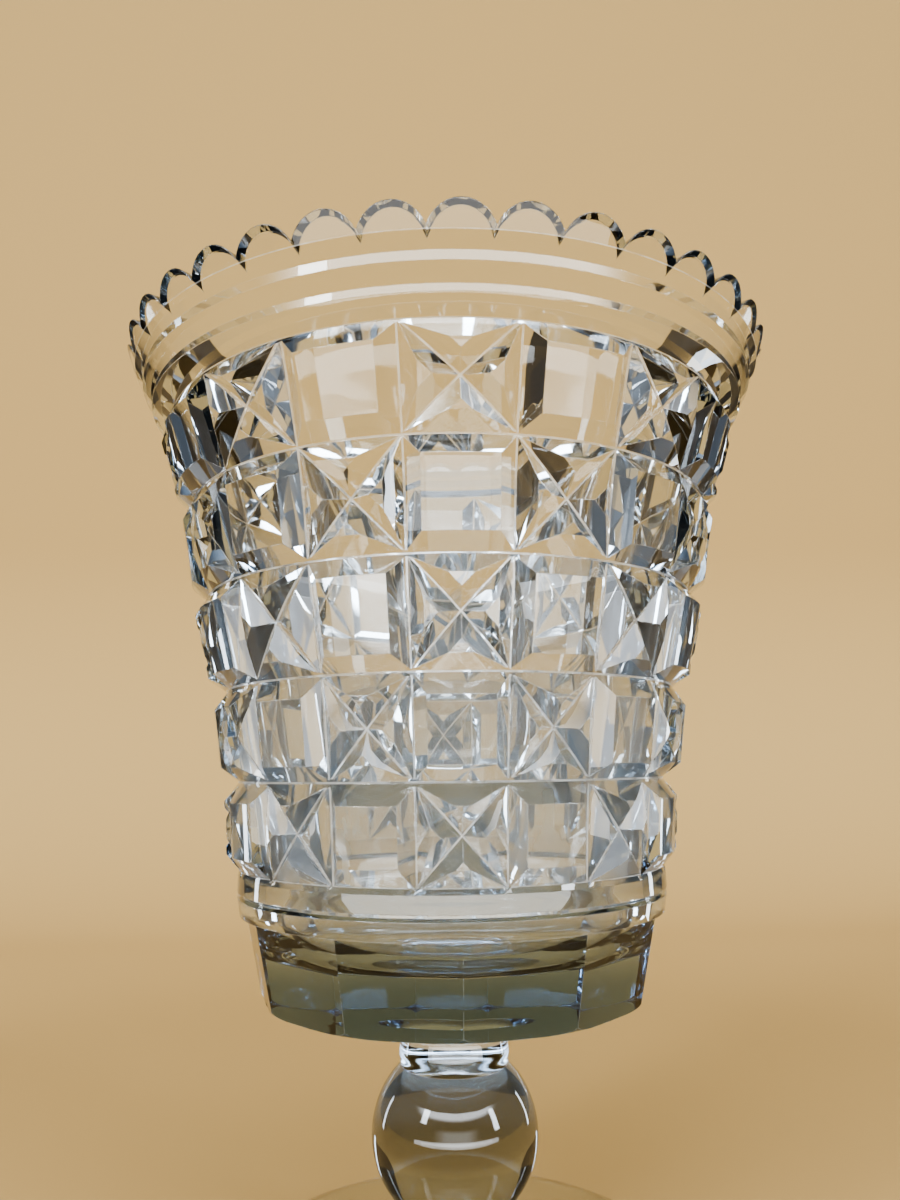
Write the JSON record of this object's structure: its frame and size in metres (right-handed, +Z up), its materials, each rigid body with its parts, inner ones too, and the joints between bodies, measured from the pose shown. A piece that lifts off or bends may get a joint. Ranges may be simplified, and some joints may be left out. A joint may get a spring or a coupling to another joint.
{
  "type": "cut-glass celery vase",
  "caption": "Footed cut-glass celery vase with a scalloped rim, checkered cross-cut bowl, ball knop and round foot.",
  "frame": {"origin": "centre of the foot's rest plane, on the axis of the vase", "axes": "+Z up along the axis of the vase, -Y towards a cut cross cell of the top row"},
  "size_m": [0.1526, 0.153, 0.2056],
  "materials": {
    "bowl_glass": "polished cut lead crystal, clear with a faint grey-green cast where thick",
    "stem_glass": "smooth fire-polished lead crystal, clear",
    "foot_glass": "smooth fire-polished lead crystal, clear, worn rest ring beneath"
  },
  "bodies": {
    "root": {"bowl": "bowl_glass", "neck_collar": "stem_glass", "ball_knop": "stem_glass", "lower_stem": "stem_glass", "foot": "foot_glass"}
  },
  "joints": []
}
